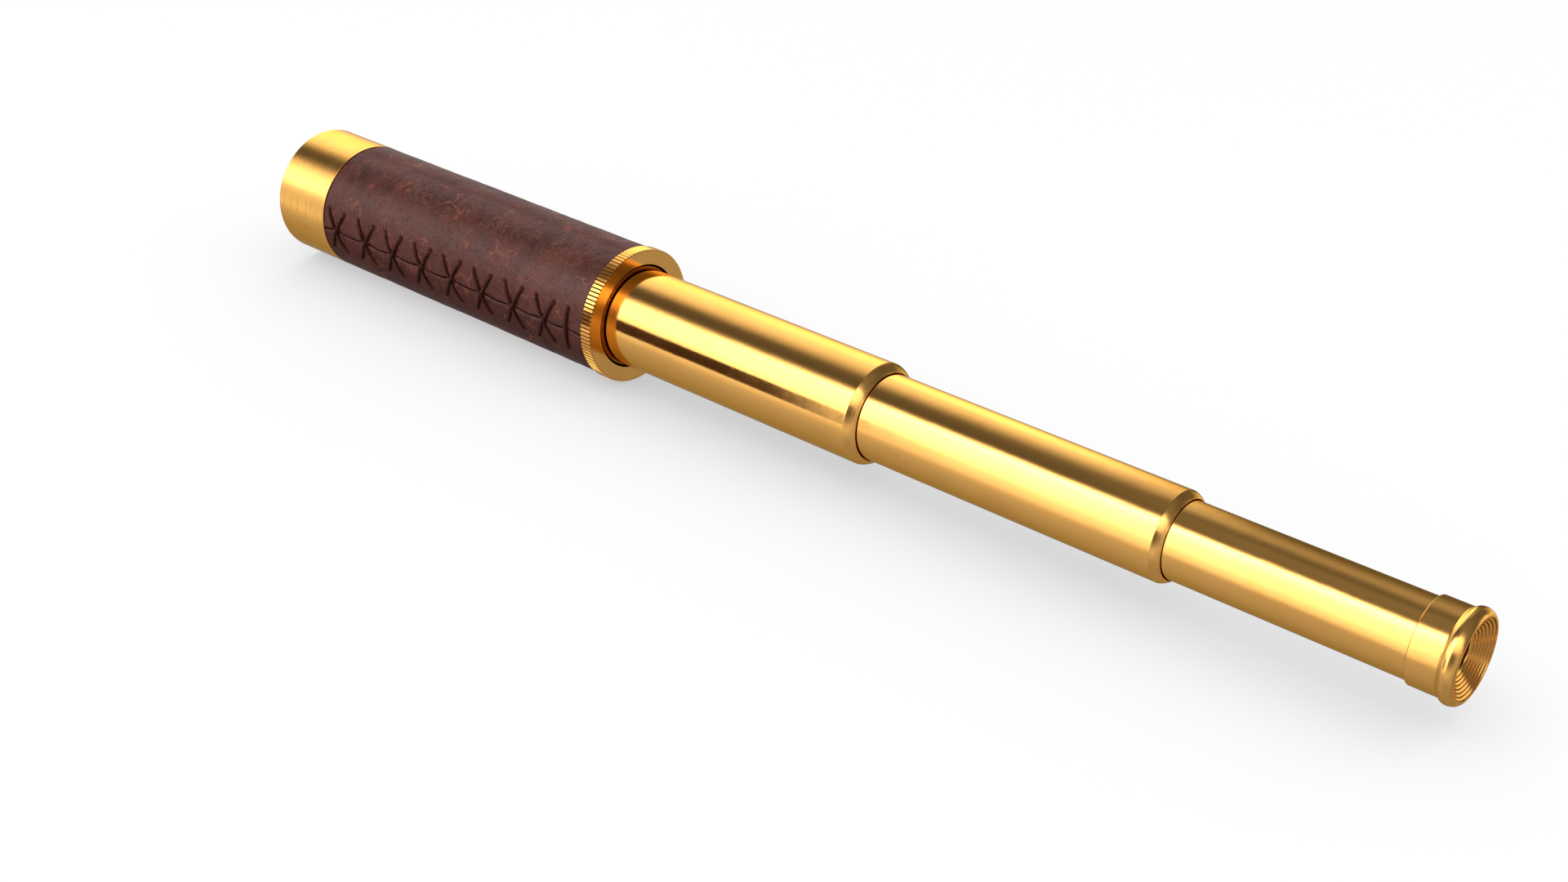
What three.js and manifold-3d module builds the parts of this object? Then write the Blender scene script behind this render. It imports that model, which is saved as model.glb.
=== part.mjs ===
// Three-draw hand telescope in brass with a leather-laced barrel, fully drawn out.
// Millimetres, +Z up. The optical axis lies along X: objective at -X, eyepiece at +X.
// The origin is under the middle of the telescope, on the plane its knurled collar would rest on.
// Stations (start, end and the like) are distances from the objective rim along the axis.
// Front is the objective side. Radii are from the axis. Outline tables hold [radius, station].
import * as THREE from "three";
import { mergeVertices } from "three/addons/utils/BufferGeometryUtils.js";
import Module from "manifold-3d";

// ---- driving dimensions ----
const LENGTH = 426.0; // objective rim to eye cup rim
const FACETS = 24; // the same for every large turned piece, so nested pieces stay parallel
const OPTIC_FACETS = 16; // small pieces inside the erector and eyepiece tubes
const OVERSHOOT = 10; // how far cutters run past the piece they cut

const CELL = { radius: 21.0, end: 23.2 };
const BARREL = { inner: 19.1, outer: 20.0, start: 14.0, end: 145.2 };
const LEATHER = { inner: 20.1, outer: 20.95, start: CELL.end + 0.1, end: 145.3 };
const OBJECTIVE_RADIUS = 17.5;

const COLLAR = { bore: 16.6, spigotRadius: 18.95, spigotStart: 130.5, spigotOverlap: 1 };
const KNURL = {
  radius: 21.4,
  depth: 0.55,
  teeth: 108,
  halfLand: 0.36, // half the width of a tooth's land, as a share of the pitch
  start: 145.4,
  end: 149.4,
};
const KNURL_PITCH = (2 * Math.PI) / KNURL.teeth;

// The two draws that end in a tapered mouth
const DRAW_1 = {
  inner: 14.75, outer: 15.35, start: 122.3, stopRadius: 18.6,
  taper: 243.6, mouth: 246.5, lip: 13.13,
  ferruleStart: 236, ferruleBore: 13.95,
  sleeveInner: 13.12, sleeveOuter: 13.85, sleeveStart: 229.0,
};
const DRAW_2 = {
  inner: 12.45, outer: 13.02, start: 223.0, stopRadius: 14.6,
  taper: 342.7, mouth: 345.2, lip: 11.16,
  ferruleStart: 336, ferruleBore: 11.75,
  sleeveInner: 11.16, sleeveOuter: 11.67, sleeveStart: 328.2,
};
const TUBE_CLEARANCE = 0.05; // between a draw tube and its stop ring

// The eyepiece draw
const DRAW_3 = { inner: 10.5, outer: 11.07, start: 322.3, end: 416.8 };
const STOP_3 = { radius: 12.3, end: 327.9 };
const HOUSING = { radius: 11.9, start: 413.2 };
const EYE_CUP = { start: 421.3, beadRadius: 12.85, rimRadius: 11.3, holeRadius: 5.15 };
const OPTIC_TUBE_RADIUS = 10.38; // erector and eyepiece tubes
const LENS_POCKET = 9.6;
const LENS_RADIUS = 9.5;
const EYE_LENS_POCKET = 6.2;
const EYE_LENS_RADIUS = 6.1;

// Seam and lacing of the leather
const SEAM_DEG = -90; // the seam faces -Y
const SLIT = { width: 0.9, depth: 3 };
const STITCH_STARTS = [25.9, 40.6, 54.4, 68.4, 82.5, 96.7, 111.0, 124.9];
const STITCH_LENGTH = 7.7;
const STITCH_HALF_DEG = 19.4;
const END_STITCH = 138.7;
const STRAND = { radius: 21.18, halfWidth: 0.35, halfThickness: 0.09, steps: 6 };
const SPINE = {
  radius: 20.8, width: 0.5, depth: 0.75,
  start: STITCH_STARTS[0] + 1.7,
  end: END_STITCH + 0.7,
};

// ---- materials ----
const standard = (values) => new THREE.MeshStandardMaterial(values);
const brass = ({ roughness = 0.22 } = {}) => standard({ color: 0xc9a24e, roughness, metalness: 1 });
const darkBrass = () => standard({ color: 0x3a3228, roughness: 0.7, metalness: 0.6 });
const leather = () => standard({ color: 0x583732, roughness: 0.5, metalness: 0 });
const thread = () => standard({ color: 0x2d1e1c, roughness: 0.7, metalness: 0 });
const glass = () => standard({ color: 0xdfe8e4, roughness: 0.03, metalness: 0 });

// ---- helpers ----
const wasm = await Module();
wasm.setup();

// A piece turned about +Y. An outline that starts on the axis also ends there and stays open;
// any other is closed. A counter-clockwise outline makes the faces point outward.
function turned(outline, facets = FACETS) {
  const points = outline.map(([radius, station]) => new THREE.Vector2(radius, station));
  if (points[0].x > 0) points.push(points[0]);
  if (THREE.ShapeUtils.area(points) < 0) points.reverse();
  return new THREE.LatheGeometry(points, facets);
}

function ring({ inner, outer, start, end }, facets) {
  return turned([[inner, start], [outer, start], [outer, end], [inner, end]], facets);
}

function rod(radius, start, end) {
  return turned([[0, start], [radius, start], [radius, end], [0, end]]);
}

// front and rear are stations on the axis. A sag is how far a face falls back at the rim,
// positive when convex.
function lens({ radius, front, rear, frontSag = 0, rearSag = 0 }, facets) {
  const face = (station, sag) => {
    const shares = sag ? [0, 0.4, 0.72, 1] : [0, 1];
    return shares.map((share) => [radius * share, station + sag * share * share]);
  };
  return turned([...face(front, frontSag), ...face(rear, -rearSag).reverse()], facets);
}

function toSolid(geometry) {
  const bare = new THREE.BufferGeometry()
    .setAttribute("position", geometry.attributes.position)
    .setIndex(geometry.index);
  const merged = mergeVertices(bare, 1e-4);
  return new wasm.Manifold(new wasm.Mesh({
    numProp: 3,
    vertProperties: new Float32Array(merged.attributes.position.array),
    triVerts: new Uint32Array(merged.index.array),
  }));
}

function toGeometry(solid) {
  const { vertProperties, triVerts } = solid.getMesh();
  return new THREE.BufferGeometry()
    .setAttribute("position", new THREE.BufferAttribute(new Float32Array(vertProperties), 3))
    .setIndex(new THREE.BufferAttribute(new Uint32Array(triVerts), 1));
}

function add(group, name, geometry, material) {
  const mesh = new THREE.Mesh(geometry, material);
  mesh.name = name;
  group.add(mesh);
}

// A point in the lathe's frame. In the finished part, 0 degrees is up and -90 faces -Y.
function pointAt(radius, degrees, station) {
  const angle = THREE.MathUtils.degToRad(degrees);
  return new THREE.Vector3(-radius * Math.sin(angle), station, radius * Math.cos(angle));
}

// A box along the seam, centred on a radius.
function seamBox(width, depth, radius, start, end) {
  const center = pointAt(radius, SEAM_DEG, (start + end) / 2);
  return new THREE.BoxGeometry(width, end - start, depth)
    .rotateY(-THREE.MathUtils.degToRad(SEAM_DEG))
    .translate(center.x, center.y, center.z);
}

// ---- leather and lacing ----
function leatherWrap() {
  const { inner, outer, start, end } = LEATHER;
  const slit = seamBox(
    SLIT.width, SLIT.depth, (inner + outer) / 2, start - OVERSHOOT, end + OVERSHOOT,
  );
  return toGeometry(toSolid(ring(LEATHER)).subtract(toSolid(slit)));
}

// A flat strand that follows the leather from one station and angle to another.
function strand(startStation, startDeg, endStation, endDeg) {
  const { radius, halfWidth, halfThickness, steps } = STRAND;
  const path = [];
  for (let i = 0; i <= steps; i++) {
    const share = i / steps;
    const degrees = startDeg + (endDeg - startDeg) * share;
    path.push(pointAt(radius, degrees, startStation + (endStation - startStation) * share));
  }

  const corners = [[-1, -1], [1, -1], [1, 1], [-1, 1]]; // signs across the width and thickness
  const positions = [];
  path.forEach((point, i) => {
    const before = path[Math.max(i - 1, 0)];
    const after = path[Math.min(i + 1, steps)];
    const along = after.clone().sub(before).normalize();
    const outward = new THREE.Vector3(point.x, 0, point.z).normalize();
    const side = new THREE.Vector3().crossVectors(along, outward).normalize();
    for (const [across, up] of corners) {
      const corner = point.clone()
        .addScaledVector(side, across * halfWidth)
        .addScaledVector(outward, up * halfThickness);
      positions.push(...corner.toArray());
    }
  });

  const indices = [];
  for (let i = 0; i < steps; i++) {
    for (let k = 0; k < 4; k++) {
      const here = i * 4 + k;
      const next = i * 4 + ((k + 1) % 4);
      indices.push(here, next + 4, next, here, here + 4, next + 4);
    }
  }
  const last = 4 * steps;
  indices.push(0, 1, 2, 0, 2, 3); // start cap
  indices.push(last, last + 2, last + 1, last, last + 3, last + 2); // end cap
  return new THREE.BufferGeometry()
    .setAttribute("position", new THREE.BufferAttribute(new Float32Array(positions), 3))
    .setIndex(indices);
}

// A cord along the slit, crosses that lie on the leather, and one straight end stitch.
function lacing() {
  const low = SEAM_DEG - STITCH_HALF_DEG;
  const high = SEAM_DEG + STITCH_HALF_DEG;
  let cord = toSolid(seamBox(SPINE.width, SPINE.depth, SPINE.radius, SPINE.start, SPINE.end));
  for (const start of STITCH_STARTS) {
    const end = start + STITCH_LENGTH;
    cord = cord.add(toSolid(strand(start, low, end, high)));
    cord = cord.add(toSolid(strand(start, high, end, low)));
  }
  cord = cord.add(toSolid(strand(END_STITCH, low, END_STITCH, high)));
  return toGeometry(cord);
}

// ---- barrel ----
const OBJECTIVE_CELL = [
  [20.5, 0], [20.8, 0], [CELL.radius, 0.3], [CELL.radius, CELL.end], [20.1, CELL.end],
  [20.1, 13.8], [19.05, 13.8], [19.05, 5.6], [20.5, 5.6],
];
const FRONT_RING = [
  [20.45, 0.1], [20.45, 5.3], [19.4, 5.3], [19.4, 3.0], [17.9, 2.6], [17.9, 2.0],
  [18.5, 2.0], [18.55, 1.5], [19.15, 1.5], [19.2, 1.0], [19.8, 1.0], [19.85, 0.5], [20.25, 0.5],
];
const LENS_MOUNT = [
  [18.35, 8.0], [18.95, 8.0], [18.95, 22.8], [17.65, 22.8],
  [17.65, 13.65], [16.4, 13.65], [16.4, 13.3],
];
const CROWN_LENS = {
  radius: OBJECTIVE_RADIUS, front: 12.9, rear: 17.4, frontSag: 1.0, rearSag: 0.8,
};
const FLINT_LENS = { radius: OBJECTIVE_RADIUS, front: 18.0, rear: 20.2, frontSag: -0.8 };
const RETAINING_RING = { inner: 18.4, outer: 18.95, start: 5.9, end: 7.85 };
const SPACER = { inner: 16.7, outer: OBJECTIVE_RADIUS, start: 16.78, end: 17.1 };
const REAR_RING = { inner: 16.2, outer: OBJECTIVE_RADIUS, start: 20.4, end: 22.4 };
const GUIDE_BUSH = [
  [15.45, 128.4], [18.9, 128.4], [18.9, 130.2], [16.5, 130.2],
  [16.5, 141.0], [15.8, 141.7], [15.8, 149.1], [15.45, 149.1],
];

// A flange with straight knurling, and a spigot that screws into the barrel tube.
function rearCollar() {
  // Each tooth is a land followed by a V groove, deepest half a pitch from the land's middle.
  const tooth = [
    [-KNURL.halfLand, KNURL.radius],
    [KNURL.halfLand, KNURL.radius],
    [0.5, KNURL.radius - KNURL.depth],
  ];
  const points = [];
  for (let i = 0; i < KNURL.teeth; i++) {
    for (const [share, radius] of tooth) {
      const angle = (i + share) * KNURL_PITCH;
      points.push(new THREE.Vector2(radius * Math.cos(angle), radius * Math.sin(angle)));
    }
  }
  const outline = new THREE.Shape(points);
  outline.closePath();
  const depth = KNURL.end - KNURL.start;
  const flange = new THREE.ExtrudeGeometry(outline, { depth, bevelEnabled: false })
    .rotateX(-Math.PI / 2)
    .translate(0, KNURL.start, 0);

  const { bore, spigotRadius, spigotStart, spigotOverlap } = COLLAR;
  const spigot = rod(spigotRadius, spigotStart, KNURL.start + spigotOverlap);
  const hole = rod(bore, spigotStart - OVERSHOOT, KNURL.end + OVERSHOOT);
  return toGeometry(toSolid(flange).add(toSolid(spigot)).subtract(toSolid(hole)));
}

function buildBarrel() {
  const group = new THREE.Group();
  add(group, "barrel_tube", ring(BARREL), brass());
  add(group, "leather_wrap", leatherWrap(), leather());
  add(group, "lacing_thread", lacing(), thread());
  add(group, "objective_cell", turned(OBJECTIVE_CELL), brass());
  add(group, "front_ring", turned(FRONT_RING), brass({ roughness: 0.3 }));
  add(group, "front_retaining_ring", ring(RETAINING_RING), brass({ roughness: 0.3 }));
  add(group, "lens_mount", turned(LENS_MOUNT), brass({ roughness: 0.15 }));
  add(group, "objective_crown_lens", lens(CROWN_LENS), glass());
  add(group, "objective_spacer", ring(SPACER), brass({ roughness: 0.5 }));
  add(group, "objective_flint_lens", lens(FLINT_LENS), glass());
  add(group, "objective_rear_ring", ring(REAR_RING), brass({ roughness: 0.4 }));
  add(group, "rear_collar", rearCollar(), brass());
  add(group, "barrel_guide_bush", turned(GUIDE_BUSH), brass({ roughness: 0.3 }));
  return group;
}

// ---- draws 1 and 2 ----
// A ring round the front end of the tube, with a thin flange over the tube's end.
function stopRing({ inner, outer, start, stopRadius }) {
  const end = start + 5.7;
  const flangeEnd = start + 0.2;
  const bore = outer + TUBE_CLEARANCE;
  return turned([
    [inner, start], [stopRadius, start], [stopRadius, end],
    [bore, end], [bore, flangeEnd], [inner, flangeEnd],
  ]);
}

// The tapered mouth: a crisp edge, then a shoulder that steepens down to the lip.
function ferrule({ inner, outer, lip, taper, mouth, ferruleStart, ferruleBore }) {
  const height = mouth - taper;
  const width = outer - lip;
  const spigot = inner - 0.1;
  const lipStart = mouth - 0.9;
  return turned([
    [lip, mouth], [lip + 0.15 * width, mouth],
    [lip + 0.52 * width, taper + 0.72 * height],
    [lip + 0.81 * width, taper + 0.38 * height],
    [outer, taper], [spigot, taper], [spigot, ferruleStart],
    [ferruleBore, ferruleStart], [ferruleBore, lipStart], [lip, lipStart],
  ]);
}

// A thin sleeve with four slots from its front end, so that it springs on the draw it guides.
function springSleeve({ sleeveInner: inner, sleeveOuter: outer, sleeveStart: start, mouth }) {
  const end = mouth - 1.1;
  const slotWidth = 0.8;
  const slotLength = (end - start) * 0.62;
  let sleeve = toSolid(ring({ inner, outer, start, end }));
  for (const degrees of [45, 135]) {
    const cutter = new THREE.BoxGeometry(slotWidth, slotLength, 2 * outer + 4)
      .rotateY(THREE.MathUtils.degToRad(degrees))
      .translate(0, start - 0.5 + slotLength / 2, 0);
    sleeve = sleeve.subtract(toSolid(cutter));
  }
  return toGeometry(sleeve);
}

function buildDraw(number, draw) {
  const group = new THREE.Group();
  const tube = { ...draw, start: draw.start + 0.3, end: draw.taper - 0.15 };
  add(group, `draw_tube_${number}`, ring(tube), brass());
  add(group, `draw_${number}_stop_ring`, stopRing(draw), brass({ roughness: 0.4 }));
  add(group, `draw_${number}_ferrule`, ferrule(draw), brass());
  add(group, `draw_${number}_guide_sleeve`, springSleeve(draw), brass({ roughness: 0.35 }));
  return group;
}

// ---- eyepiece draw ----
const ERECTOR_TUBE = [
  [LENS_POCKET, 318], [11.0, 318], [11.0, 322], [OPTIC_TUBE_RADIUS, 322],
  [OPTIC_TUBE_RADIUS, 364], [LENS_POCKET, 364], [LENS_POCKET, 358.5],
  [8.9, 358.5], [8.9, 324.7], [LENS_POCKET, 324.7],
];
const EYEPIECE_HOUSING = [
  [11.13, HOUSING.start], [11.7, HOUSING.start + 0.05],
  [HOUSING.radius, HOUSING.start + 0.3], [HOUSING.radius, EYE_CUP.start - 0.1],
  [10.5, EYE_CUP.start - 0.1], [10.5, 417.1], [11.13, 417.1],
];
const EYEPIECE_LENS_TUBE = [
  [LENS_POCKET, 384], [OPTIC_TUBE_RADIUS, 384], [OPTIC_TUBE_RADIUS, 414.2],
  [9.2, 414.2], [9.2, 391.2], [LENS_POCKET, 391.2],
];
const EYE_LENS_CELL = [
  [EYE_LENS_POCKET, 406.5], [9.1, 406.5], [9.1, 414.4], [OPTIC_TUBE_RADIUS, 414.4],
  [OPTIC_TUBE_RADIUS, 416.6], [EYE_LENS_POCKET, 416.6], [EYE_LENS_POCKET, 412.4],
  [5.5, 412.4], [5.5, 411.6], [EYE_LENS_POCKET, 411.6],
];
const EYE_CUP_OUTLINE = [
  // rounded outside, up to the rim
  [11.85, EYE_CUP.start], [11.95, 421.55], [12.45, 421.95], [EYE_CUP.beadRadius - 0.08, 422.6],
  [EYE_CUP.beadRadius, 423.4], [EYE_CUP.beadRadius - 0.1, 424.4], [12.5, 425.2], [12.05, 425.8],
  [11.8, LENGTH], [EYE_CUP.rimRadius, LENGTH],
  // stepped hollow, down to the eye hole
  [10.9, 425.4], [10.3, 425.3], [9.9, 424.8], [9.3, 424.7], [8.9, 424.2], [8.3, 424.1],
  [7.9, 423.6], [7.3, 423.5], [6.9, 423.0], [6.3, 422.9], [5.9, 422.4],
  [EYE_CUP.holeRadius, 422.2], [EYE_CUP.holeRadius, 421.4],
  // front side and spigot
  [6.2, 420.6], [9.4, 420.6], [9.4, 417.0], [10.35, 417.0], [10.35, EYE_CUP.start],
];

function buildEyepieceDraw() {
  const group = new THREE.Group();
  const opticTurned = (name, outline) => {
    add(group, name, turned(outline, OPTIC_FACETS), darkBrass());
  };
  const opticRing = (name, inner, outer, start, end) => {
    add(group, name, ring({ inner, outer, start, end }, OPTIC_FACETS), darkBrass());
  };
  const opticLens = (name, radius, front, rear, sags) => {
    add(group, name, lens({ radius, front, rear, ...sags }, OPTIC_FACETS), glass());
  };
  const stop = {
    inner: DRAW_3.outer + TUBE_CLEARANCE, outer: STOP_3.radius, start: DRAW_3.start, end: STOP_3.end,
  };
  add(group, "draw_tube_3", ring(DRAW_3), brass());
  add(group, "draw_3_stop_ring", ring(stop), brass({ roughness: 0.4 }));

  opticTurned("erector_tube", ERECTOR_TUBE);
  opticRing("erector_front_retainer", 8.3, LENS_RADIUS, 318.6, 320.4);
  opticLens("erector_front_lens", LENS_RADIUS, 320.6, 324.4, { frontSag: 0.9 });
  opticRing("erector_stop", 3.0, 8.8, 340.0, 341.0);
  opticLens("erector_rear_lens", LENS_RADIUS, 358.8, 362.6, { rearSag: 0.9 });
  opticRing("erector_rear_retainer", 8.3, LENS_RADIUS, 362.0, 363.7);

  add(group, "eyepiece_housing", turned(EYEPIECE_HOUSING), brass());
  opticTurned("eyepiece_lens_tube", EYEPIECE_LENS_TUBE);
  opticRing("field_lens_retainer", 8.5, LENS_RADIUS, 384.4, 386.0);
  opticLens("field_lens", LENS_RADIUS, 386.2, 391.0, { frontSag: 1.6 });
  opticRing("field_stop", 6.0, 9.1, 402.0, 403.0);
  opticTurned("eye_lens_cell", EYE_LENS_CELL);
  opticLens("eye_lens", EYE_LENS_RADIUS, 412.5, 415.8, { rearSag: 1.2 });
  opticRing("eye_lens_retainer", 5.3, EYE_LENS_RADIUS, 415.2, 416.4);
  add(group, "eye_cup", turned(EYE_CUP_OUTLINE), brass());
  return group;
}

// ---- telescope ----
const telescope = new THREE.Group();
telescope.add(buildBarrel(), buildDraw(1, DRAW_1), buildDraw(2, DRAW_2), buildEyepieceDraw());

// The lathe's +Y becomes +X of the part. The lowest point is the flat of a knurl land.
telescope.rotation.z = -Math.PI / 2;
const restHeight = KNURL.radius * Math.cos(KNURL.halfLand * KNURL_PITCH);
telescope.position.set(-LENGTH / 2, 0, restHeight);
export default telescope;
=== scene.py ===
# A three-draw brass telescope: turned brass, a laced leather sleeve, glass, studio and camera.
# It lies along X with the objective rim at the low-X end and the eye cup at the high-X end; Z is up.
# Pieces are drawn in millimetres: a station along +X from the objective rim, and a radius from the
# optical axis. Angles about the axis start at up and grow towards +Y. The lacing faces -Y.
import math

import bmesh
import bpy
import numpy as np
from mathutils import Matrix, Vector


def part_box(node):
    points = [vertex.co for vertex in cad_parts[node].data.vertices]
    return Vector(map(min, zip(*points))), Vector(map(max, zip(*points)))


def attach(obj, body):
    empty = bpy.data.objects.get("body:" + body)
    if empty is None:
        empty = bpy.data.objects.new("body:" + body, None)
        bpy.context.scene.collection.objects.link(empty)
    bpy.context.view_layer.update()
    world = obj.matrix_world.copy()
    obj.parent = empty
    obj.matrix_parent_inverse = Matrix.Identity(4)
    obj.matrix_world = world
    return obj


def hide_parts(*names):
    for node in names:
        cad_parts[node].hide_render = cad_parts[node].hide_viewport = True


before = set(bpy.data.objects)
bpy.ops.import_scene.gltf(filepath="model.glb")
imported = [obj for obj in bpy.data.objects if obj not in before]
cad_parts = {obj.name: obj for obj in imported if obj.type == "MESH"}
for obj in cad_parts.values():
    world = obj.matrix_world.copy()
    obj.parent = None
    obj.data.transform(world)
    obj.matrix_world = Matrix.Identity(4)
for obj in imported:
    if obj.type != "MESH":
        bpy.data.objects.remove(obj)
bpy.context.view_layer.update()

RIM_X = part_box("objective_cell")[0].x
barrel_low, barrel_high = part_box("barrel_tube")
AXIS_Z = (barrel_low.z + barrel_high.z) / 2
MM = 1e-3

# Leather sleeve, mm
SLEEVE_R = 20.95
SLEEVE_BORE = 20.1
SLEEVE_START, SLEEVE_END = 23.3, 145.3

# Knurled collar, mm
KNURL_R = 21.4
KNURL_TEETH = 104


def place(station, radius, angle):
    """Points in metres from stations and radii in mm and angles in radians."""
    angle = np.asarray(angle)
    return np.stack([RIM_X + np.asarray(station) * MM + 0 * angle,
                     np.asarray(radius) * MM * np.sin(angle),
                     AXIS_Z + np.asarray(radius) * MM * np.cos(angle)], -1)


# ---------------------------------------------------------------- node helpers
class Nodes:
    """Builds one node tree. Inputs may be plain values or the outputs of other nodes."""

    def __init__(self, tree):
        self.tree = tree
        tree.nodes.clear()

    def put(self, socket, value):
        if isinstance(value, bpy.types.NodeSocket):
            self.tree.links.new(value, socket)
        elif isinstance(value, tuple) and len(value) == 3:
            socket.default_value = (*value, 1)
        else:
            socket.default_value = value

    def add(self, kind, inputs=None, **settings):
        node = self.tree.nodes.new("ShaderNode" + kind)
        for key, value in settings.items():
            setattr(node, key, value)
        for key, value in (inputs or {}).items():
            self.put(node.inputs[key], value)
        return node

    def math(self, operation, *values, clamp=False):
        inputs = dict(enumerate(values))
        return self.add("Math", inputs, operation=operation, use_clamp=clamp).outputs[0]

    def times(self, *factors):
        result = factors[0]
        for factor in factors[1:]:
            result = self.math("MULTIPLY", result, factor)
        return result

    def total(self, *terms, clamp=False):
        result = terms[0]
        for term in terms[1:]:
            result = self.math("ADD", result, term, clamp=clamp)
        return result

    def noise(self, vector, scale=1.0, detail=3.0, roughness=0.5, distortion=0.0, output="Fac"):
        return self.add("TexNoise", {"Vector": vector, "Scale": scale, "Detail": detail,
                                     "Roughness": roughness,
                                     "Distortion": distortion}).outputs[output]

    def stretched(self, axes, scales, **noise):
        """Noise over three axes, each with its own scale."""
        return self.noise(self.combine(*map(self.times, axes, scales)), **noise)

    def remap(self, value, low, high, to_low=0, to_high=1, smooth=False):
        inputs = {"Value": value, "From Min": low, "From Max": high,
                  "To Min": to_low, "To Max": to_high}
        kind = "SMOOTHSTEP" if smooth else "LINEAR"
        return self.add("MapRange", inputs, interpolation_type=kind).outputs[0]

    def rise(self, value, low, high):
        return self.remap(value, low, high, smooth=True)

    def fall(self, value, low, high):
        return self.remap(value, low, high, to_low=1, to_high=0, smooth=True)

    def mix(self, factor, first, second):
        inputs = {0: factor, 6: first, 7: second}
        return self.add("Mix", inputs, data_type="RGBA", blend_type="MIX").outputs[2]

    def grey_ramp(self, factor, stops):
        """A colour ramp of greys; stops are (position, level)."""
        node = self.add("ValToRGB", {"Fac": factor})
        ramp = node.color_ramp
        while len(ramp.elements) < len(stops):
            ramp.elements.new(0.5)
        for element, (position, level) in zip(ramp.elements, stops):
            element.position = position
            element.color = (level, level, level, 1)
        return node.outputs["Color"]

    def combine(self, x, y, z):
        return self.add("CombineXYZ", {0: x, 1: y, 2: z}).outputs[0]

    def separate(self, vector):
        return self.add("SeparateXYZ", {0: vector}).outputs

    def object_coords(self):
        return self.add("TexCoord").outputs["Object"]

    def about_axis(self, coords):
        """Station in metres, angle in radians, and y and height from the optical axis."""
        x, y, z = self.separate(coords)
        height = self.math("SUBTRACT", z, AXIS_Z)
        return x, self.math("ARCTAN2", y, height), y, height

    def radius(self, y, height):
        return self.math("SQRT", self.total(self.times(y, y), self.times(height, height)))

    def bump(self, height, strength, distance, **inputs):
        return self.add("Bump", {"Strength": strength, "Distance": distance,
                                 "Height": height, **inputs}).outputs[0]

    def surface(self, inputs):
        shader = self.add("BsdfPrincipled", inputs).outputs[0]
        self.add("OutputMaterial", {"Surface": shader})


def new_material(name):
    material = bpy.data.materials.new(name)
    material.use_nodes = True
    return material, Nodes(material.node_tree)


# ---------------------------------------------------------------- materials
BRASS = (0.90, 0.475, 0.125)
BRASS_BROWN = (0.62, 0.30, 0.075)
BRASS_SPECK = (0.22, 0.095, 0.03)
# painted shade with some dirt: the dark brown of the knurl groove floors
GROOVE_SHADE_AND_DIRT = (0.042, 0.016, 0.006)

# Where painted shade, with some dirt, darkens the knurl grooves, metres: a span of stations,
# the least radius it reaches, and the radii at which it is full and gone.
KNURL_SHADE_AND_DIRT = dict(start=144.0e-3, end=149.36e-3, floor=20.3e-3, full=20.95e-3, gone=21.33e-3)


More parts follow.
